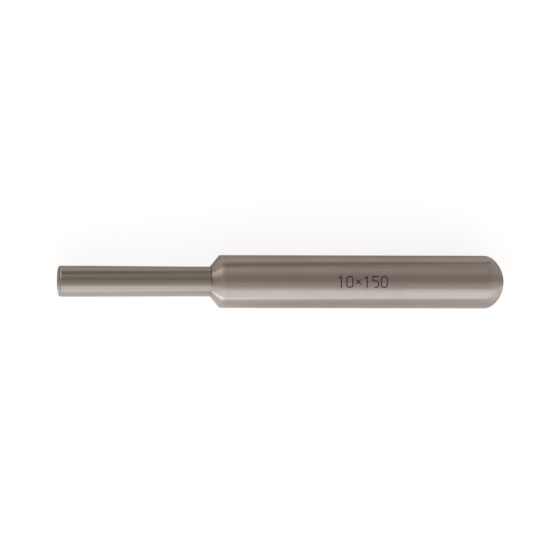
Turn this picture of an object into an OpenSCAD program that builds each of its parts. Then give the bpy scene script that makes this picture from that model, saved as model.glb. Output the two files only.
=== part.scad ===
// Pin punch: a round bar with a conical nose and a crowned end to strike, and a ground pin pressed into the nose.
// Both pieces are turned, so each is half an outline revolved round the tool's axis. An outline is drawn with its
// radius along x and its place on the axis along y, from the tip at -y to the crown at +y, with the middle at 0.
// The tool then lies on its bar along X, with its tip at -X.

/* [Overall] */
// Length from the flat tip of the pin to the top of the crown
overall_l = 150; // [130:1:200]

/* [Body] */
// Diameter of the bar that the hand holds
body_d = 17.7; // [16:0.1:24]
// Angle between the nose cone and the axis
nose_angle = 50; // [35:1:60]
// Radius of the corner between the nose cone and the bar
nose_corner_r = 0.7; // [0.2:0.1:1.2]
// How much larger than the bar's radius the sphere of the crown is
crown_extra_r = 1.3; // [0.4:0.1:5]
// Radius that blends the bar into the crown
crown_blend_r = 5; // [1:0.5:6.5]

/* [Pin] */
// Diameter of the pin where it leaves the body, and of the socket that it is pressed into
pin_d = 10; // [7:0.1:12]
// Length of pin that stands out of the body
pin_out_l = 51.1; // [45:0.1:70]
// How much thicker the land at the tip is than the rest of the pin
land_extra_d = 0.35; // [0.1:0.05:0.6]
// Length of the parallel land behind the tip
land_l = 9.5; // [4:0.5:12]
// Length of the taper behind the land
taper_l = 32.5; // [20:0.5:34]
// Chamfer round the tip
tip_chamfer = 0.4; // [0.1:0.05:1]

/* [Socket] */
// Depth of the blind socket in the nose
socket_l = 25; // [15:1:40]
// Chamfer at the mouth of the socket
mouth_chamfer = 0.2; // [0.05:0.05:0.5]
// Chamfer that leads the pin into the socket
lead_chamfer = 0.5; // [0.2:0.1:1.5]

/* [Hidden] */
$fn = 96;
// How far a cut runs past the face that it opens
overrun = 1;
// How far a corner's circle is pushed into its neighbour, so that the two outlines cross and don't just touch
weld = 0.0003;
// How far a corner's slice turns on inside its neighbour
lap_angle = 10;

body_r = body_d / 2;
pin_r = pin_d / 2;
land_r = pin_r + land_extra_d / 2;

// Places on the axis: the tip, the nose that the pin leaves, and the flat floor of the socket
tip_y = -overall_l / 2;
nose_y = tip_y + pin_out_l;
floor_y = nose_y + socket_l;

// The nose cone runs from the mouth of the socket to the circle that rounds its corner with the bar
mouth_r = pin_r + mouth_chamfer;
shoulder_y = nose_y + (body_r - mouth_r) / tan(nose_angle);
corner_setback = nose_corner_r * tan(nose_angle / 2);
corner_centre = [body_r - nose_corner_r, shoulder_y + corner_setback - weld];

// The crown is a sphere on the axis, and the blend circle lies between it and the bar
crown_r = body_r + crown_extra_r;
crown_centre = [0, overall_l / 2 - crown_r];
blend_bearing = acos((body_r - crown_blend_r) / (crown_r - crown_blend_r));
blend_centre = crown_centre + (crown_r - crown_blend_r) * bearing(blend_bearing) + [0, weld];

// Direction at an angle from the radius, turning towards the crown
function bearing(angle) = [cos(angle), sin(angle)];

// Slice of a disc between two bearings
module slice(centre, r, from, to) {
    reach = 2 * r;
    translate(centre)
        intersection() {
            circle(r);
            polygon([[0, 0], reach * bearing(from), reach * bearing((from + to) / 2), reach * bearing(to)]);
        }
}

// Straight sides of the nose and the bar, with a slice for each round stretch
module body_outline() {
    polygon([
        [0, nose_y],
        [mouth_r, nose_y],
        [body_r, shoulder_y] - corner_setback * bearing(90 - nose_angle),
        corner_centre,
        [body_r, corner_centre.y],
        [body_r, blend_centre.y],
        [0, blend_centre.y]
    ]);
    slice(corner_centre, nose_corner_r, -nose_angle - lap_angle, 0);
    slice(blend_centre, crown_blend_r, 0, blend_bearing + lap_angle);
    slice(crown_centre, crown_r, blend_bearing, 90);
}

// Tip chamfer, land, taper, shank and the chamfered end that stands on the socket's floor
module pin_outline() {
    polygon([
        [0, tip_y],
        [land_r - tip_chamfer, tip_y],
        [land_r, tip_y + tip_chamfer],
        [land_r, tip_y + land_l],
        [pin_r, tip_y + land_l + taper_l],
        [pin_r, floor_y - lead_chamfer],
        [pin_r - lead_chamfer, floor_y],
        [0, floor_y]
    ]);
}

// Flat-bottomed bore for the pin, opened at its mouth by a chamfer
module socket() {
    translate([0, 0, nose_y - overrun]) {
        cylinder(h = overrun + socket_l, r = pin_r);
        cylinder(h = overrun + mouth_chamfer, r1 = mouth_r + overrun, r2 = pin_r);
    }
}

// Lays a turned piece along X, with the bar resting on z = 0
module lay_down() {
    translate([0, 0, body_r])
        rotate([0, 90, 0])
            children();
}

module body() {
    color("#867C74")
        lay_down()
            difference() {
                rotate_extrude() body_outline();
                socket();
            }
}

module drive_pin() {
    color("#7A746A")
        lay_down()
            rotate_extrude() pin_outline();
}

body();
drive_pin();
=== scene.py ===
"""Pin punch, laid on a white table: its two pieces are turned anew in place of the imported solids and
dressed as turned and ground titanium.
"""

import math

import bpy
from mathutils import Matrix, Vector


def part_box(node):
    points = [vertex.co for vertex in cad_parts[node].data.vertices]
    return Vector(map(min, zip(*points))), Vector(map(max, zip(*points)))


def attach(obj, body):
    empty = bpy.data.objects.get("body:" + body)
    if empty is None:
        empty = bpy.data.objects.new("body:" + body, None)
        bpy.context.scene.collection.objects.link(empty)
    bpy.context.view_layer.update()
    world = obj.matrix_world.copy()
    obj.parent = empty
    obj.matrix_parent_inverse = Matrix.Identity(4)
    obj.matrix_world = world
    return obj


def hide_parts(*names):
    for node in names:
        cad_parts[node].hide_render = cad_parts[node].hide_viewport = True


bl_info = {
    "name": "Pin Punch",
    "version": (1, 0, 0),
    "blender": (4, 5, 0),
    "location": "3D View > Sidebar > Pin Punch",
    "description": "Turns the body and the pin of a pin punch and sets it on a white table",
    "category": "Object",
}

MM = 0.001
BODY = "root"

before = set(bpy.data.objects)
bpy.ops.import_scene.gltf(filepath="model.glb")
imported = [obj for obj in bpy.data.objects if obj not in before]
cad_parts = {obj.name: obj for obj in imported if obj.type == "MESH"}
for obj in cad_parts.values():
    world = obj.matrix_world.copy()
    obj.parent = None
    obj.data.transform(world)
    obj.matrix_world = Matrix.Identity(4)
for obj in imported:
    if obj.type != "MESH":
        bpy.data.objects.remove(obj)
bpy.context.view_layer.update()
body_low, body_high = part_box("body")
pin_low, pin_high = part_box("drive_pin")

# The tool's axis runs along X at this height
AXIS_Z = (body_low.z + body_high.z) / 2
# Farther than any place on the tool, in metres
FAR = 1

# Edges sharper than the first angle are broken in this many steps, and those flatter than the second
# are shaded smooth
BREAK_ANGLE = math.radians(30)
BREAK_STEPS = 2
SMOOTH_ANGLE = math.radians(35)
# The crown's last ring stands at this angle from the axis, small enough for its flat cap not to show
CAP_ANGLE = math.radians(0.5)
# A rounded stretch has at least this many steps
ARC_STEPS = 2

# Straight strokes of each figure, from end to end, as shares of half its height from its middle
FIGURE_STROKES = {
    "1": (((0, -1), (0, 1)), ((-0.45, 0.55), (0, 0.9))),
    "5": (((-0.45, 0.9), (0.5, 0.9)), ((-0.45, 1), (-0.45, 0.06)), ((-0.45, 0.16), (-0.1, 0.16))),
    "x": (((-0.4, -0.4), (0.4, 0.4)), ((-0.4, 0.4), (0.4, -0.4))),
}
# Loops of each figure, in the same shares: middle, half width and half height, and where the left side
# is cut off
FIGURE_LOOPS = {
    "0": (((0, 0), 0.5, 0.9, -1),),
    "5": (((0, -0.37), 0.5, 0.53, -0.15),),
}
# Radius of a loop's corners, in the same shares
CORNER_SHARE = 0.45
# Softness of a figure's edge, to each side
MARK_EDGE = 0.05 * MM

# Layers of the noise and how strongly the finer ones show, and the middle of it, which alone is used
NOISE_DETAIL = 3
NOISE_FINENESS = 0.6
NOISE_MIDDLE = (0.3, 0.7)
RING_MIDDLE = (0.25, 0.75)

# Shade that the turned rings add, and shade of the ground streaks
RING_SHADES = (-0.07, 0.06)
STREAK_SHADES = (0.82, 1.14)

# Roughness added to that of the metal: over its marks, and on its duller places
TURNED_SPREAD = (-0.06, 0.07)
GROUND_SPREAD = (-0.05, 0.05)
NOSE_DULLER = 0.1
MARK_DULLER = 0.25
STRUCK_DULLER = 0.5
TIP_DULLER = 0.2

# How strongly the grooves spread a highlight, and the quarter turn that spreads it along the tool
TURNED_GROOVES = 1
GROUND_GROOVES = 0.4
GROOVE_TURN = 0.25
# How strongly the marks stand out of the surface, and how high at full strength
TURNED_RELIEF = 0.12
GROUND_RELIEF = 0.15
RELIEF_HEIGHT = 0.05 * MM

# The way of the lathe's tool leaves out this share on the crown, whose rings are wider apart for it,
# and counts the radius at this rate on the nose
CROWN_SLOWER = 0.45
NOSE_FACING = 1.7

# In millimetres from the top of the crown: where its rings get wider apart, where they grow to their
# full strength, and where the scuffs of the struck end do
CROWN_START = -6
CROWN_RINGS = (-5, -3)
STRUCK_END = (-6, -2)
# Where those scuffs die out, in millimetres from the axis
STRUCK_MIDDLE = (1, 7)
# In millimetres from the mouth of the socket: where the nose's coarser cut and its painted light rise
# from their first share, and where they end
NOSE_CUT = ((0, 2.5), (3.7, 4.2))
NOSE_FIRST = 0.4
# Where the painted shade in the joint deepens, along the pin from the mouth and across it from the axis
JOINT_SHADE_ALONG = (-0.45, -0.1)
JOINT_SHADE_ACROSS = (-2, 0.5)
# In millimetres from the tip: where its circles give way to streaks, and where the painted shade on its
# flat end stops
TIP_CIRCLES = (0, 0.5)
TIP_FACE = (0.02, 0.1)

# Nicks in the crown: their places in millimetres from the tool's middle, their darkest shade, and
# where it starts and ends to fade, in radii of a nick
NICK_PLACES = (
    (69, 6.6, 5.8),
    (69.7, 6.5, 5.7),
    (71, 7, 4),
    (71.7, 6.2, 4.2),
    (72.3, 5.3, 4.4),
)
NICK_SHADE = 0.5
NICK_EDGE = (0.5, 1.5)

# Edges of the table's light in the metal, in millimetres across the tool from its middle: lit up to
# the near edge, and again from the far edge on
NEAR_EDGE = (-13, 3)
FAR_EDGE = (8, 26)
# Stronger patches beside the pin, by the crown and beyond the tip, each with the edge where it rises
# and the edge where it falls, along the tool and across it
PIN_PATCH = ((-95, -75), (-24, -12))
CROWN_PATCH = ((86, 95), (112, 130))
CROWN_PATCH_ACROSS = ((-60, -40), (-16, -8))
TIP_PATCH = ((-94, -86), (-75, -74))
TIP_PATCH_ACROSS = ((-8, -6.5), (-4, -1))

# Where the horizon gives way to the walls, as the sine of an elevation
WALL_FOOT = (0.055, 0.08)
# Direction of the darkest ceiling, and where it starts and is fully dark, as the cosine of an angle
# from there
CEILING_MIDDLE = Vector((0.17, 0.2, 0.96)).normalized()
CEILING_EDGE = (0.78, 0.97)

# Side of the square table, in metres
TABLE_SIZE = 16
# The card stands behind the tool, turned in its own plane so that its end by the crown is lower
CARD_PLACE = (0, 0.1, 0.0265)
CARD_TURN = math.radians(21)
CARD_SIZE = (0.6, 0.042, 1)
# Width of the camera's sensor, in millimetres
SENSOR_WIDTH = 36

WHITE = (1, 1, 1)
COOL = (0.95, 1, 1.06)
# Lamps: name, place on the axis that it faces, bearing and height in degrees, distance, width and depth
# in metres, radiance and tint
SOFTBOXES = (
    ("side_softbox", 0, 0, 27.8, 0.7, 2.6, 0.44, 1.12, (0.94, 1.03, 1.1)),
    ("upper_softbox", 0, 0, 52.5, 0.7, 2.6, 0.18, 0.71, COOL),
    ("shoulder_softbox", 0, 0, 74, 0.7, 2.6, 0.3, 0.2, COOL),
    ("strip_softbox", -0.048, 0, 12, 0.06, 0.06, 0.007, 1.35, COOL),
    ("nose_softbox", 0, 35, 0.9, 0.4, 0.1, 0.026, 26, (0.9, 1.03, 1.11)),
    ("fill_softbox", 0, 122, 9, 0.5, 0.2, 0.12, 3.9, WHITE),
    ("crown_softbox", 0, -72, 20, 0.7, 0.5, 0.3, 0.45, WHITE),
)


def linear(code):
    """A colour written as sRGB hex, in linear light, by the standard curve."""
    shares = [int(code[i:i + 2], 16) / 255 for i in (1, 3, 5)]
    return [c / 12.92 if c <= 0.04045 else ((c + 0.055) / 1.055) ** 2.4 for c in shares]


def length(name, description, default):
    """A length in metres that a user may change."""
    return bpy.props.FloatProperty(
        name=name, description=description, default=default, min=0, precision=5, unit="LENGTH")


def angle(name, description, default):
    """An angle, written here in degrees, that a user may change."""
    return bpy.props.FloatProperty(
        name=name, description=description, default=math.radians(default), subtype="ANGLE")


def number(name, description, default):
    """A plain number that a user may change."""
    return bpy.props.FloatProperty(name=name, description=description, default=default)


def colour(name, description, code):
    """A colour, written here as sRGB hex, that a user may change."""
    return bpy.props.FloatVectorProperty(
        name=name, description=description, default=linear(code), subtype="COLOR", size=3,
        min=0, max=1)


class PunchSizes(bpy.types.PropertyGroup):
    """Sizes of the two turned pieces."""

    nose_angle: angle("Nose Angle", "Between the nose cone and the axis", 50)
    nose_corner: length("Nose Corner", "Radius of the corner between nose and bar", 0.7 * MM)
    crown_radius: length("Crown Radius", "Radius of the sphere of the struck end", 10.15 * MM)
    crown_blend: length("Crown Blend", "Radius that blends the bar into the crown", 5 * MM)
    pin_diameter: length("Pin Diameter", "Diameter of the pin in its socket", 10 * MM)
    land_length: length("Land Length", "Parallel length behind the tip", 9.5 * MM)
    taper_length: length("Taper Length", "Length over which the land thins to the pin", 32.5 * MM)
    tip_chamfer: length("Tip Chamfer", "Chamfer round the tip", 0.4 * MM)
    mouth_chamfer: length("Mouth Chamfer", "Chamfer at the mouth of the socket", 0.2 * MM)
    lead_chamfer: length("Lead Chamfer", "Chamfer on the pin's hidden end", 0.5 * MM)
    edge_break: length("Edge Break", "Width of the break on each sharp edge", 0.05 * MM)
    sides: bpy.props.IntProperty(
        name="Sides", description="Faces round each turned piece", default=192, min=16)
    arc_step: angle("Arc Step", "Turn from one ring to the next along a rounded stretch", 4)


class PunchFinish(bpy.types.PropertyGroup):
    """Colours and surface finish of the metal and of the size mark, with the painted light on the nose
    and the painted shade on the tip and in the joint.
    """

    turned_colour: colour("Turned Titanium", "Colour of the turned body", "#A9A09A")
    turned_roughness: number("Turned Roughness", "Roughness of the turned body", 0.376)
    ring_pitch: length("Ring Pitch", "From one turned ring to the next, as drawn", 0.5 * MM)
    crown_rings: number("Crown Rings", "How strong the crown's rings are beside the bar's", 3.4)
    wear_width: length("Wear Width", "Width of the patches that use has dulled", 12 * MM)
    # Painted light on the nose cone, standing in for the highlight of the lamps there
    nose_painted_light: number("Brighter Nose", "How much brighter the nose is than the bar", 0.32)
    nick_radius: length("Nick Radius", "Half the width of a nick in the crown", 0.38 * MM)
    ground_colour: colour("Ground Titanium", "Colour of the ground pin", "#9A958D")
    ground_roughness: number("Ground Roughness", "Roughness of the ground pin", 0.34)
    streak_width: length("Streak Width", "Width of a ground streak, as drawn", 0.6 * MM)
    streak_length: length("Streak Length", "Length of a ground streak", 300 * MM)
    circle_pitch: length("Circle Pitch", "From one circle on the tip to the next, as drawn", 0.4 * MM)
    # Painted shade on the flat tip, standing in for the shaded table that it mirrors
    tip_painted_shade: number("Tip Shade", "How dark the faced tip is beside the ground pin", 0.56)
    # Painted shade in the joint where the pin enters the nose
    joint_shade: number("Joint Shade", "How much the dirt darkens the pin at the socket", 0.5)
    mark_text: bpy.props.StringProperty(
        name="Size Mark", description="Etched size, in the figures 0, 1, 5 and x", default="10x150")
    mark_colour: colour("Etched Mark", "Colour of the etched size", "#655147")
    mark_height: length("Mark Height", "Height of the etched figures", 4 * MM)
    mark_stroke: length("Mark Stroke", "Width of the etched strokes", 0.4 * MM)
    mark_pitch: length("Mark Pitch", "From the middle of one figure to the next", 2.9 * MM)
    mark_x: length("Mark Place", "Middle of the etched size along the tool", 26.3 * MM)


class PunchStudio(bpy.types.PropertyGroup):
    """Camera, room and table."""

    lens: number("Lens", "Focal length in millimetres, long as for a catalogue", 800)
    frame_width: length("Frame Width", "What the picture spans at the tool", 187.25 * MM)
    tilt: angle("Tilt", "How far the camera leans from overhead towards the tip", 7.5)
    roll: angle("Roll", "How far the camera turns about its own axis", 0.13)
    aim_x: number("Aim Along", "Middle of the picture along the tool, in metres", -0.45 * MM)
    aim_y: length("Aim Across", "Middle of the picture across the tool", 0.57 * MM)
    table_colour: colour("Table", "Colour of the table", "#E6E4E2")
    table_shown: colour("Table Shown", "Colour under the added light in the picture", "#8E8D8C")
    table_lift: number("Table Lift", "Light added to the table in the picture", 0.82)
    table_near: number("Near Table Lift", "Light added in the metal on the lamps' side", 0.27)
    table_far: number("Far Table Lift", "Light added in the metal on the far side", 0.16)
    table_pin: number("Pin Table Share", "How much stronger the near light is beside the pin", 0.9)
    table_crown: number("Crown Table Share", "How much stronger the near light is by the crown", 4.4)
    table_tip: number("Tip Table Lift", "Light added in the metal just beyond the tip", 2.1)
    card_colour: colour("Far Card", "Colour of the card that draws the dark line", "#95897E")
    wall_colour: colour("Walls", "Colour of the room round the table", "#CBC3BC")
    ceiling_colour: colour("Ceiling", "Colour of the room over the camera", "#ADA59F")


def outline_arc(centre, radius, start, end, step):
    """Stations on an arc round (x, r), from one bearing to another, measured from +X towards +r."""
    count = max(ARC_STEPS, math.ceil(abs(end - start) / step))
    bearings = [start + (end - start) * i / count for i in range(count + 1)]
    return [(centre[0] + radius * math.cos(b), centre[1] + radius * math.sin(b)) for b in bearings]


def turn(name, stations):
    """A turned piece: one ring, extruded from station to station along the axis, then closed."""
    bpy.ops.object.select_all(action="DESELECT")
    x, r = stations[0]
    bpy.ops.mesh.primitive_circle_add(
        vertices=bpy.context.scene.punch_sizes.sides, radius=r, fill_type="NGON",
        location=(x, 0, AXIS_Z), rotation=(0, math.pi / 2, 0))
    piece = bpy.context.active_object
    piece.name = piece.data.name = name
    bpy.ops.object.transform_apply(location=True, rotation=True, scale=True)
    bpy.ops.object.mode_set(mode="EDIT")
    bpy.ops.mesh.select_mode(type="EDGE")
    bpy.ops.mesh.select_all(action="SELECT")
    for next_x, next_r in stations[1:]:
        bpy.ops.mesh.extrude_edges_move(
            MESH_OT_extrude_edges_indiv={}, TRANSFORM_OT_translate={"value": (next_x - x, 0, 0)})
        ratio = next_r / r
        bpy.ops.transform.resize(value=(1, ratio, ratio), center_override=(next_x, 0, AXIS_Z))
        x, r = next_x, next_r
    bpy.ops.mesh.edge_face_add()
    bpy.ops.mesh.select_all(action="SELECT")
    bpy.ops.mesh.normals_make_consistent(inside=False)
    bpy.ops.object.mode_set(mode="OBJECT")
    return piece


def finish_piece(piece, node, material, edge_break):
    """Breaks the sharp edges, shades the piece and puts it in its node's place."""
    bpy.ops.object.modifier_add(type="BEVEL")
    bevel = piece.modifiers[-1]
    bevel.limit_method = "ANGLE"
    bevel.angle_limit = BREAK_ANGLE
    bevel.width = edge_break
    bevel.segments = BREAK_STEPS
    bpy.ops.object.modifier_apply(modifier=bevel.name)
    bpy.ops.object.shade_smooth_by_angle(angle=SMOOTH_ANGLE)
    piece.data.materials.append(material)
    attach(piece, BODY)
    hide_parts(node)


def add_node(tree, kind, inputs=(), **settings):
    """Adds a node with its settings. Each input, in order or by its name or number, takes a value or is
    fed by a socket, or by the first output that another node has in use."""
    made = tree.nodes.new(kind)
    for key, value in settings.items():
        setattr(made, key, value)
    pairs = inputs.items() if isinstance(inputs, dict) else enumerate(inputs)
    for key, value in pairs:
        if isinstance(value, bpy.types.Node):
            value = next(output for output in value.outputs if output.enabled)
        if isinstance(value, bpy.types.NodeSocket):
            tree.links.new(value, made.inputs[key])
        else:
            made.inputs[key].default_value = value
    return made


def new_material(name):
    """An empty node material and its tree."""
    material = bpy.data.materials.new(name)
    material.use_nodes = True
    material.node_tree.nodes.clear()
    return material, material.node_tree


def about(middle, changes, unit=1):
    """The values that lie these changes, in a unit, away from a middle one."""
    return [middle + change * unit for change in changes]


def patch(tree, place, edges, levels=(0, 1), origin=0):
    """A value that goes from one level to another over its first edge and falls to 0 over its second.
    Each edge is a pair of places in millimetres from an origin."""
    rise, fall = edges
    risen = add_node(tree, "ShaderNodeMapRange", (place, *about(origin, rise, MM), *levels),
                     interpolation_type="SMOOTHSTEP")
    left = add_node(tree, "ShaderNodeMapRange", (place, *about(origin, fall, MM), 1, 0),
                    interpolation_type="SMOOTHSTEP")
    return add_node(tree, "ShaderNodeMath", (risen, left), operation="MULTIPLY")


def axis_coordinates(tree):
    """Object coordinates from the tool's axis: as a vector, as X, Y and Z, and the distance from it."""
    place = add_node(tree, "ShaderNodeTexCoord").outputs["Object"]
    centred = add_node(tree, "ShaderNodeMapping", {"Vector": place, "Location": (0, 0, -AXIS_Z)})
    spot = add_node(tree, "ShaderNodeSeparateXYZ", (centred,)).outputs
    across = add_node(tree, "ShaderNodeVectorMath", (centred, (0, 1, 1)), operation="MULTIPLY")
    radius = add_node(tree, "ShaderNodeVectorMath", (across,), operation="LENGTH")
    return centred, spot, radius


def metal_output(tree, inputs):
    """Principled metal whose fine grooves spread its highlight along the tool."""
    tangent = add_node(tree, "ShaderNodeTangent", direction_type="RADIAL", axis="X")
    shader = add_node(tree, "ShaderNodeBsdfPrincipled", {
        "Metallic": 1, "Anisotropic Rotation": GROOVE_TURN, "Tangent": tangent, **inputs})
    add_node(tree, "ShaderNodeOutputMaterial", {"Surface": shader})


def stroke_distance(tree, place, start, end, width):
    """How far a point lies outside a straight stroke, in metres and below 0 within it."""
    run = end - start
    middle = (start + end) / 2
    local = add_node(tree, "ShaderNodeMapping", {
        "Vector": place, "Location": (*middle, 0), "Rotation": (0, 0, math.atan2(run.y, run.x))},
        vector_type="TEXTURE")
    folded = add_node(tree, "ShaderNodeVectorMath", (local,), operation="ABSOLUTE")
    outside = add_node(tree, "ShaderNodeVectorMath", (folded, (run.length / 2, width / 2, 0)),
                       operation="SUBTRACT")
    parts = add_node(tree, "ShaderNodeSeparateXYZ", (outside,)).outputs
    return add_node(tree, "ShaderNodeMath", (parts["X"], parts["Y"]), operation="MAXIMUM")


def ring_distance(tree, place, centre, half_width, half_height, corner, width):
    """How far a point lies outside a stroke that follows a rectangle with round corners, in metres."""
    local = add_node(tree, "ShaderNodeMapping", {
        "Vector": place, "Location": (*centre, 0)}, vector_type="TEXTURE")
    folded = add_node(tree, "ShaderNodeVectorMath", (local,), operation="ABSOLUTE")
    # The core of the rectangle reaches far up and down, so that height plays no part
    core = (half_width - corner, half_height - corner, FAR)
    outside = add_node(tree, "ShaderNodeVectorMath", (folded, core), operation="SUBTRACT")
    kept = add_node(tree, "ShaderNodeVectorMath", (outside,), operation="MAXIMUM")
    reach = add_node(tree, "ShaderNodeVectorMath", (kept,), operation="LENGTH")
    beyond = add_node(tree, "ShaderNodeMath", (reach, corner), operation="SUBTRACT")
    from_line = add_node(tree, "ShaderNodeMath", (beyond,), operation="ABSOLUTE")
    return add_node(tree, "ShaderNodeMath", (from_line, width / 2), operation="SUBTRACT")


def size_mark(tree, centred, spot):
    """The punch's size in millimetres, etched in plain figures, as a mask on top of the bar."""
    finish = bpy.context.scene.punch_finish
    half = finish.mark_height / 2
    width = finish.mark_stroke
    first_x = finish.mark_x - (len(finish.mark_text) - 1) / 2 * finish.mark_pitch
    nearest = FAR
    for place, figure in enumerate(finish.mark_text):
        middle = Vector((first_x + place * finish.mark_pitch, 0))
        for start, end in FIGURE_STROKES.get(figure, ()):
            away = stroke_distance(
                tree, centred, middle + Vector(start) * half, middle + Vector(end) * half, width)
            nearest = add_node(tree, "ShaderNodeMath", (away, nearest), operation="MINIMUM")
        for centre, half_width, half_height, opening in FIGURE_LOOPS.get(figure, ()):
            loop = ring_distance(tree, centred, middle + Vector(centre) * half, half_width * half,
                                 half_height * half, CORNER_SHARE * half, width)
            cut = add_node(tree, "ShaderNodeMath", (middle.x + opening * half, spot["X"]),
                           operation="SUBTRACT")
            away = add_node(tree, "ShaderNodeMath", (loop, cut), operation="MAXIMUM")
            nearest = add_node(tree, "ShaderNodeMath", (away, nearest), operation="MINIMUM")
    drawn = add_node(tree, "ShaderNodeMapRange", (nearest, -MARK_EDGE, MARK_EDGE, 1, 0))
    upper = add_node(tree, "ShaderNodeMath", (spot["Z"], 0), operation="GREATER_THAN")
    return add_node(tree, "ShaderNodeMath", (drawn, upper), operation="MULTIPLY")


def crown_nicks(tree, centred):
    """Small dark nicks at the far shoulder of the crown, as a shade."""
    radius = bpy.context.scene.punch_finish.nick_radius
    nearest = FAR
    for place in NICK_PLACES:
        away = add_node(tree, "ShaderNodeVectorMath", (centred, Vector(place) * MM),
                        operation="DISTANCE")
        nearest = add_node(tree, "ShaderNodeMath", (away, nearest), operation="MINIMUM")
    return add_node(tree, "ShaderNodeMapRange", (
        nearest, *about(0, NICK_EDGE, radius), NICK_SHADE, 1), interpolation_type="SMOOTHSTEP")


def lathe_way(tree, x, radius):
    """How far the lathe's tool has come: along the bar, slowly over the crown, and across the nose."""
    past = add_node(tree, "ShaderNodeMath", (x, body_high.x + CROWN_START * MM), operation="SUBTRACT")
    crowned = add_node(tree, "ShaderNodeMath", (past, 0), operation="MAXIMUM")
    along = add_node(tree, "ShaderNodeMath", (crowned, -CROWN_SLOWER, x), operation="MULTIPLY_ADD")
    nose_end = add_node(tree, "ShaderNodeMath", (x, 0), operation="LESS_THAN")
    faced = add_node(tree, "ShaderNodeMath", (radius, nose_end), operation="MULTIPLY")
    return add_node(tree, "ShaderNodeMath", (faced, -NOSE_FACING, along), operation="MULTIPLY_ADD")


def turned_titanium():
    """Titanium turned on a lathe: satin, with fine rings that spread its highlight along the tool."""
    finish = bpy.context.scene.punch_finish
    material, tree = new_material("turned_titanium")
    centred, spot, radius = axis_coordinates(tree)
    # A real feed of 0.1 mm is too fine to show, so the rings are drawn 0.5 mm apart
    rings = add_node(tree, "ShaderNodeTexNoise", {
        "W": lathe_way(tree, spot["X"], radius), "Scale": 1 / finish.ring_pitch,
        "Detail": NOISE_DETAIL, "Roughness": NOISE_FINENESS}, noise_dimensions="1D")
    uneven = add_node(tree, "ShaderNodeMapRange", (rings, *RING_MIDDLE, *RING_SHADES))
    # The rings of the crown were cut last and show more than those of the bar
    strength = add_node(tree, "ShaderNodeMapRange", (
        spot["X"], *about(body_high.x, CROWN_RINGS, MM), 1, finish.crown_rings),
        interpolation_type="SMOOTHSTEP")
    ringed = add_node(tree, "ShaderNodeMath", (uneven, strength, 1), operation="MULTIPLY_ADD")
    # The nose is faced with a coarser cut than the bar, and painted light makes its colour brighter
    # from the mouth outwards
    nose = patch(tree, spot["X"], NOSE_CUT, (NOSE_FIRST, 1), body_low.x)
    lit = add_node(tree, "ShaderNodeMath", (nose, finish.nose_painted_light, 1), operation="MULTIPLY_ADD")
    turned = add_node(tree, "ShaderNodeMath", (ringed, lit), operation="MULTIPLY")
    shade = add_node(tree, "ShaderNodeMath", (turned, crown_nicks(tree, centred)), operation="MULTIPLY")
    bare = add_node(tree, "ShaderNodeMix", {
        "Factor": 1, 6: (*finish.turned_colour, 1), 7: shade}, data_type="RGBA", blend_type="MULTIPLY")
    # The size is etched brown
    mark = size_mark(tree, centred, spot)
    marked = add_node(tree, "ShaderNodeMix", {
        "Factor": mark, 6: bare, 7: (*finish.mark_colour, 1)}, data_type="RGBA")
    # Hands and storage leave the metal a little duller in patches
    wear = add_node(tree, "ShaderNodeTexNoise", {
        "Vector": centred, "Scale": 1 / finish.wear_width, "Detail": NOISE_DETAIL})
    both = add_node(tree, "ShaderNodeMath", (rings, wear), operation="ADD")
    mean = add_node(tree, "ShaderNodeMath", (both, 2), operation="DIVIDE")
    roughness = add_node(tree, "ShaderNodeMapRange", (
        mean, *NOISE_MIDDLE, *about(finish.turned_roughness, TURNED_SPREAD)))
    # The mark, the nose and the scuffed middle of the crown are duller than the bar
    middle = add_node(tree, "ShaderNodeMapRange", (radius, *about(0, STRUCK_MIDDLE, MM), 1, 0),
                      interpolation_type="SMOOTHSTEP")
    end = add_node(tree, "ShaderNodeMapRange", (
        spot["X"], *about(body_high.x, STRUCK_END, MM)), interpolation_type="SMOOTHSTEP")
    struck = add_node(tree, "ShaderNodeMath", (middle, end), operation="MULTIPLY")
    for part, duller in ((mark, MARK_DULLER), (nose, NOSE_DULLER), (struck, STRUCK_DULLER)):
        roughness = add_node(tree, "ShaderNodeMath", (part, duller, roughness),
                             operation="MULTIPLY_ADD")
    # The rings stand out a little, and the etched size is sunk
    relief = add_node(tree, "ShaderNodeMath", (rings, mark), operation="SUBTRACT")
    bump = add_node(tree, "ShaderNodeBump", {
        "Height": relief, "Strength": TURNED_RELIEF, "Distance": RELIEF_HEIGHT})
    metal_output(tree, {
        "Base Color": marked, "Roughness": roughness, "Normal": bump, "Anisotropic": TURNED_GROOVES})
    return material


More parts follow.
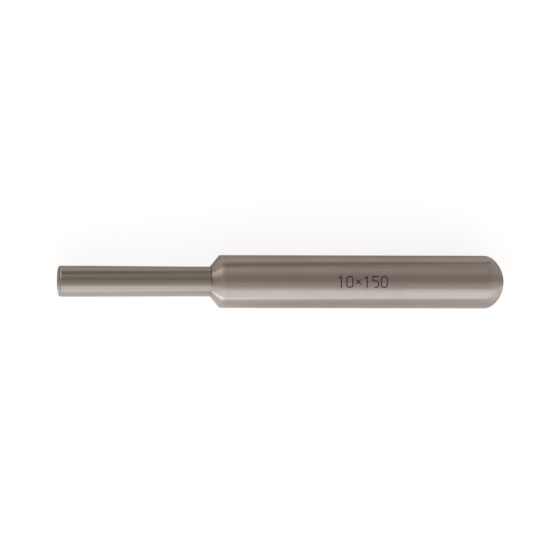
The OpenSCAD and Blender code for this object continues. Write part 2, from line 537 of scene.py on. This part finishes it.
def ground_titanium():
    """Titanium ground along its length: satin, with straight streaks from tip to nose."""
    finish = bpy.context.scene.punch_finish
    material, tree = new_material("ground_titanium")
    centred, spot, radius = axis_coordinates(tree)
    # Grit leaves scratches as long as the pin and too fine to show, so they are drawn 0.6 mm wide
    stretched = add_node(tree, "ShaderNodeMapping", {
        "Vector": centred,
        "Scale": (1 / finish.streak_length, 1 / finish.streak_width, 1 / finish.streak_width)})
    grit = add_node(tree, "ShaderNodeTexNoise", {
        "Vector": stretched, "Scale": 1, "Detail": NOISE_DETAIL, "Roughness": NOISE_FINENESS})
    # The tip's flat end and its chamfer are cut in fine circles, drawn 0.4 mm apart
    circles = add_node(tree, "ShaderNodeTexNoise", {
        "W": radius, "Scale": 1 / finish.circle_pitch}, noise_dimensions="1D")
    faced = add_node(tree, "ShaderNodeMapRange", (
        spot["X"], *about(pin_low.x, TIP_CIRCLES, MM), 1, 0), interpolation_type="SMOOTHSTEP")
    cuts = add_node(tree, "ShaderNodeMix", {"Factor": faced, 2: grit, 3: circles})
    uneven = add_node(tree, "ShaderNodeMapRange", (cuts, *NOISE_MIDDLE, *STREAK_SHADES))
    # Painted shade: the flat end is darker than the pin's side, standing in for the shaded table that
    # it mirrors
    end = add_node(tree, "ShaderNodeMapRange", (
        spot["X"], *about(pin_low.x, TIP_FACE, MM), finish.tip_painted_shade, 1),
        interpolation_type="SMOOTHSTEP")
    ground = add_node(tree, "ShaderNodeMath", (uneven, end), operation="MULTIPLY")
    # Painted shade in the joint where the pin enters the nose, on top and on the far side
    inward = add_node(tree, "ShaderNodeMapRange", (
        spot["X"], *about(body_low.x, JOINT_SHADE_ALONG, MM), 0, finish.joint_shade),
        interpolation_type="SMOOTHSTEP")
    sideways = add_node(tree, "ShaderNodeMapRange", (spot["Y"], *about(0, JOINT_SHADE_ACROSS, MM)),
                        interpolation_type="SMOOTHSTEP")
    painted_shade = add_node(tree, "ShaderNodeMath", (inward, sideways), operation="MULTIPLY")
    unshaded = add_node(tree, "ShaderNodeMath", (1, painted_shade), operation="SUBTRACT")
    shade = add_node(tree, "ShaderNodeMath", (ground, unshaded), operation="MULTIPLY")
    tinted = add_node(tree, "ShaderNodeMix", {
        "Factor": 1, 6: (*finish.ground_colour, 1), 7: shade}, data_type="RGBA", blend_type="MULTIPLY")
    spread = add_node(tree, "ShaderNodeMapRange", (
        cuts, *NOISE_MIDDLE, *about(finish.ground_roughness, GROUND_SPREAD)))
    roughness = add_node(tree, "ShaderNodeMath", (faced, TIP_DULLER, spread), operation="MULTIPLY_ADD")
    bump = add_node(tree, "ShaderNodeBump", {
        "Height": cuts, "Strength": GROUND_RELIEF, "Distance": RELIEF_HEIGHT})
    metal_output(tree, {
        "Base Color": tinted, "Roughness": roughness, "Normal": bump, "Anisotropic": GROUND_GROOVES})
    return material


def table_light(tree, x, y):
    """Light of the table in the metal, on both sides of the tool, with its shade close to it."""
    studio = bpy.context.scene.punch_studio
    near = add_node(tree, "ShaderNodeMapRange", (y, *about(0, NEAR_EDGE, MM), studio.table_near, 0),
                    interpolation_type="SMOOTHSTEP")
    far = add_node(tree, "ShaderNodeMapRange", (y, *about(0, FAR_EDGE, MM), 0, studio.table_far),
                   interpolation_type="SMOOTHSTEP")
    # The near light is stronger beside the pin and by the crown
    beside_pin = patch(tree, x, PIN_PATCH, (0, studio.table_pin))
    by_crown = patch(tree, x, CROWN_PATCH, (0, studio.table_crown))
    aside = patch(tree, y, CROWN_PATCH_ACROSS)
    ends = add_node(tree, "ShaderNodeMath", (by_crown, aside, beside_pin), operation="MULTIPLY_ADD")
    stronger = add_node(tree, "ShaderNodeMath", (near, ends, near), operation="MULTIPLY_ADD")
    sides = add_node(tree, "ShaderNodeMath", (stronger, far), operation="ADD")
    # The flat tip shows a narrow stretch of table that runs on from it, lit on the lamps' side
    beyond_tip = patch(tree, x, TIP_PATCH, (0, studio.table_tip))
    below_tip = patch(tree, y, TIP_PATCH_ACROSS)
    return add_node(tree, "ShaderNodeMath", (beyond_tip, below_tip, sides), operation="MULTIPLY_ADD")


def white_table():
    """Matt white table top that keeps the shadow, lifted to white in the picture and in the metal."""
    studio = bpy.context.scene.punch_studio
    material, tree = new_material("white_table")
    rays = add_node(tree, "ShaderNodeLightPath").outputs
    seen = add_node(tree, "ShaderNodeMath", (rays["Is Camera Ray"], rays["Is Transmission Ray"]),
                    operation="MAXIMUM")
    place = add_node(tree, "ShaderNodeTexCoord").outputs["Object"]
    spot = add_node(tree, "ShaderNodeSeparateXYZ", (place,)).outputs
    shown = add_node(tree, "ShaderNodeMath", (seen, studio.table_lift), operation="MULTIPLY")
    mirrored = add_node(tree, "ShaderNodeMath", (
        rays["Is Glossy Ray"], table_light(tree, spot["X"], spot["Y"])), operation="MULTIPLY")
    level = add_node(tree, "ShaderNodeMath", (shown, mirrored), operation="MAXIMUM")
    cover = add_node(tree, "ShaderNodeMix", {
        "Factor": seen, 6: (*studio.table_colour, 1), 7: (*studio.table_shown, 1)}, data_type="RGBA")
    matt = add_node(tree, "ShaderNodeBsdfDiffuse", {"Color": cover})
    lift = add_node(tree, "ShaderNodeEmission", {"Strength": level})
    surface = add_node(tree, "ShaderNodeAddShader", (matt, lift))
    add_node(tree, "ShaderNodeOutputMaterial", {"Surface": surface})
    return material


def brown_card():
    """Brown card on the far side of the table, which draws the dark line along the bar."""
    studio = bpy.context.scene.punch_studio
    material, tree = new_material("brown_card")
    matt = add_node(tree, "ShaderNodeBsdfDiffuse", {"Color": (*studio.card_colour, 1)})
    add_node(tree, "ShaderNodeOutputMaterial", {"Surface": matt})
    return material


def studio_world():
    """A white horizon, pale warm walls and a darker ceiling, which the metal shows as its dark top."""
    studio = bpy.context.scene.punch_studio
    world = bpy.data.worlds.new("studio")
    world.use_nodes = True
    tree = world.node_tree
    tree.nodes.clear()
    direction = add_node(tree, "ShaderNodeTexCoord").outputs["Generated"]
    height = add_node(tree, "ShaderNodeSeparateXYZ", (direction,)).outputs["Z"]
    wall = add_node(tree, "ShaderNodeMapRange", (height, *WALL_FOOT), interpolation_type="SMOOTHSTEP")
    # The room is darker round the camera, which the metal shows a little beyond the top of the bar
    overhead = add_node(tree, "ShaderNodeVectorMath", (direction, CEILING_MIDDLE),
                        operation="DOT_PRODUCT")
    ceiling = add_node(tree, "ShaderNodeMapRange", (overhead, *CEILING_EDGE),
                       interpolation_type="SMOOTHSTEP")
    room = add_node(tree, "ShaderNodeMix", {
        "Factor": ceiling, 6: (*studio.wall_colour, 1), 7: (*studio.ceiling_colour, 1)},
        data_type="RGBA")
    mixed = add_node(tree, "ShaderNodeMix", {"Factor": wall, 6: (*WHITE, 1), 7: room}, data_type="RGBA")
    light = add_node(tree, "ShaderNodeBackground", {"Color": mixed})
    add_node(tree, "ShaderNodeOutputWorld", {"Surface": light})
    bpy.context.scene.world = world


def add_softbox(name, aim_x, bearing, height, distance, width, depth, radiance, tint):
    """An area lamp that faces the tool from a bearing, counted from -Y to -X, and a height."""
    turned = math.radians(bearing)
    raised = math.radians(height)
    out = Vector((-math.sin(turned) * math.cos(raised), -math.cos(turned) * math.cos(raised),
                  math.sin(raised)))
    target = Vector((aim_x, 0, AXIS_Z))
    turn_to = (-out).to_track_quat("-Z", "Y").to_euler()
    bpy.ops.object.light_add(type="AREA", location=target + out * distance, rotation=turn_to)
    lamp = bpy.context.active_object
    lamp.name = lamp.data.name = name
    lamp.data.shape = "RECTANGLE"
    lamp.data.size = width
    lamp.data.size_y = depth
    lamp.data.energy = radiance * math.pi * width * depth
    lamp.data.color = tint
    lamp.visible_camera = False


class PUNCH_OT_body(bpy.types.Operator):
    """Turns the body: socket, nose cone, bar and crowned end"""

    bl_idname = "punch.body"
    bl_label = "Turn Body"

    def execute(self, context):
        sizes = context.scene.punch_sizes
        bar_r = (body_high.z - body_low.z) / 2
        bore_r = sizes.pin_diameter / 2
        mouth_r = bore_r + sizes.mouth_chamfer
        nose_x = body_low.x
        shoulder_x = nose_x + (bar_r - mouth_r) / math.tan(sizes.nose_angle)
        setback = sizes.nose_corner * math.tan(sizes.nose_angle / 2)
        corner = (shoulder_x + setback, bar_r - sizes.nose_corner)
        crown = (body_high.x - sizes.crown_radius, 0)
        reach = sizes.crown_radius - sizes.crown_blend
        blend_r = bar_r - sizes.crown_blend
        blend_bearing = math.asin(blend_r / reach)
        blend = (crown[0] + reach * math.cos(blend_bearing), blend_r)
        upright = math.pi / 2
        cone_bearing = upright + sizes.nose_angle
        # The sphere starts where the blend ends, so its first station is left out
        stations = [
            (pin_high.x, bore_r),
            (nose_x + sizes.mouth_chamfer, bore_r),
            (nose_x, mouth_r),
            *outline_arc(corner, sizes.nose_corner, cone_bearing, upright, sizes.arc_step),
            *outline_arc(blend, sizes.crown_blend, upright, blend_bearing, sizes.arc_step),
            *outline_arc(crown, sizes.crown_radius, blend_bearing, CAP_ANGLE, sizes.arc_step)[1:],
        ]
        piece = turn("turned_body", stations)
        finish_piece(piece, "body", turned_titanium(), sizes.edge_break)
        return {"FINISHED"}


class PUNCH_OT_pin(bpy.types.Operator):
    """Turns the pin: chamfered tip, land, taper and the shank in its socket"""

    bl_idname = "punch.pin"
    bl_label = "Turn Pin"

    def execute(self, context):
        sizes = context.scene.punch_sizes
        land_r = (pin_high.z - pin_low.z) / 2
        shank_r = sizes.pin_diameter / 2
        tip_x = pin_low.x
        land_end = tip_x + sizes.land_length
        stations = [
            (tip_x, land_r - sizes.tip_chamfer),
            (tip_x + sizes.tip_chamfer, land_r),
            (land_end, land_r),
            (land_end + sizes.taper_length, shank_r),
            (pin_high.x - sizes.lead_chamfer, shank_r),
            (pin_high.x, shank_r - sizes.lead_chamfer),
        ]
        piece = turn("ground_pin", stations)
        finish_piece(piece, "drive_pin", ground_titanium(), sizes.edge_break)
        return {"FINISHED"}


class PUNCH_OT_studio(bpy.types.Operator):
    """Lays the white table and sets the lamps, the room and the camera"""

    bl_idname = "punch.studio"
    bl_label = "Set Studio"

    def execute(self, context):
        studio = context.scene.punch_studio
        bpy.ops.object.select_all(action="DESELECT")
        bpy.ops.mesh.primitive_plane_add(size=TABLE_SIZE)
        table = context.active_object
        table.name = table.data.name = "table_top"
        table.data.materials.append(white_table())
        studio_world()
        for softbox in SOFTBOXES:
            add_softbox(*softbox)
        bpy.ops.mesh.primitive_plane_add(
            size=1, location=CARD_PLACE, rotation=(math.pi / 2, CARD_TURN, 0))
        card = context.active_object
        card.name = card.data.name = "far_card"
        card.scale = CARD_SIZE
        card.data.materials.append(brown_card())
        card.visible_camera = False
        card.visible_diffuse = False
        card.visible_shadow = False

        view = Vector((math.sin(studio.tilt), 0, -math.cos(studio.tilt)))
        right = Vector((math.cos(studio.tilt), 0, math.sin(studio.tilt)))
        upward = Vector((0, 1, 0))
        rolled_right = right * math.cos(studio.roll) + upward * math.sin(studio.roll)
        rolled_up = upward * math.cos(studio.roll) - right * math.sin(studio.roll)
        aim = Vector((studio.aim_x, studio.aim_y, AXIS_Z))
        distance = studio.frame_width * studio.lens / SENSOR_WIDTH
        turned = Matrix((rolled_right, rolled_up, -view)).transposed().to_euler()
        bpy.ops.object.camera_add(location=aim - view * distance, rotation=turned)
        camera = context.active_object
        camera.data.lens = studio.lens
        camera.data.sensor_width = SENSOR_WIDTH
        context.scene.camera = camera
        context.scene.view_settings.view_transform = "Standard"
        return {"FINISHED"}


class PUNCH_PT_panel(bpy.types.Panel):
    """Lists the steps that make the punch"""

    bl_label = "Pin Punch"
    bl_idname = "PUNCH_PT_panel"
    bl_space_type = "VIEW_3D"
    bl_region_type = "UI"
    bl_category = "Pin Punch"

    def draw(self, context):
        for step in (PUNCH_OT_body, PUNCH_OT_pin, PUNCH_OT_studio):
            self.layout.operator(step.bl_idname)


CLASSES = (
    PunchSizes, PunchFinish, PunchStudio,
    PUNCH_OT_body, PUNCH_OT_pin, PUNCH_OT_studio, PUNCH_PT_panel,
)


def register():
    """Registers the classes and puts their settings on the scene."""
    for kind in CLASSES:
        bpy.utils.register_class(kind)
    bpy.types.Scene.punch_sizes = bpy.props.PointerProperty(type=PunchSizes)
    bpy.types.Scene.punch_finish = bpy.props.PointerProperty(type=PunchFinish)
    bpy.types.Scene.punch_studio = bpy.props.PointerProperty(type=PunchStudio)


def unregister():
    """Takes the settings off the scene and removes the classes."""
    del bpy.types.Scene.punch_studio
    del bpy.types.Scene.punch_finish
    del bpy.types.Scene.punch_sizes
    for kind in reversed(CLASSES):
        bpy.utils.unregister_class(kind)


def main():
    """Makes the punch and its studio."""
    register()
    bpy.ops.punch.body()
    bpy.ops.punch.pin()
    bpy.ops.punch.studio()


if __name__ == "__main__":
    main()
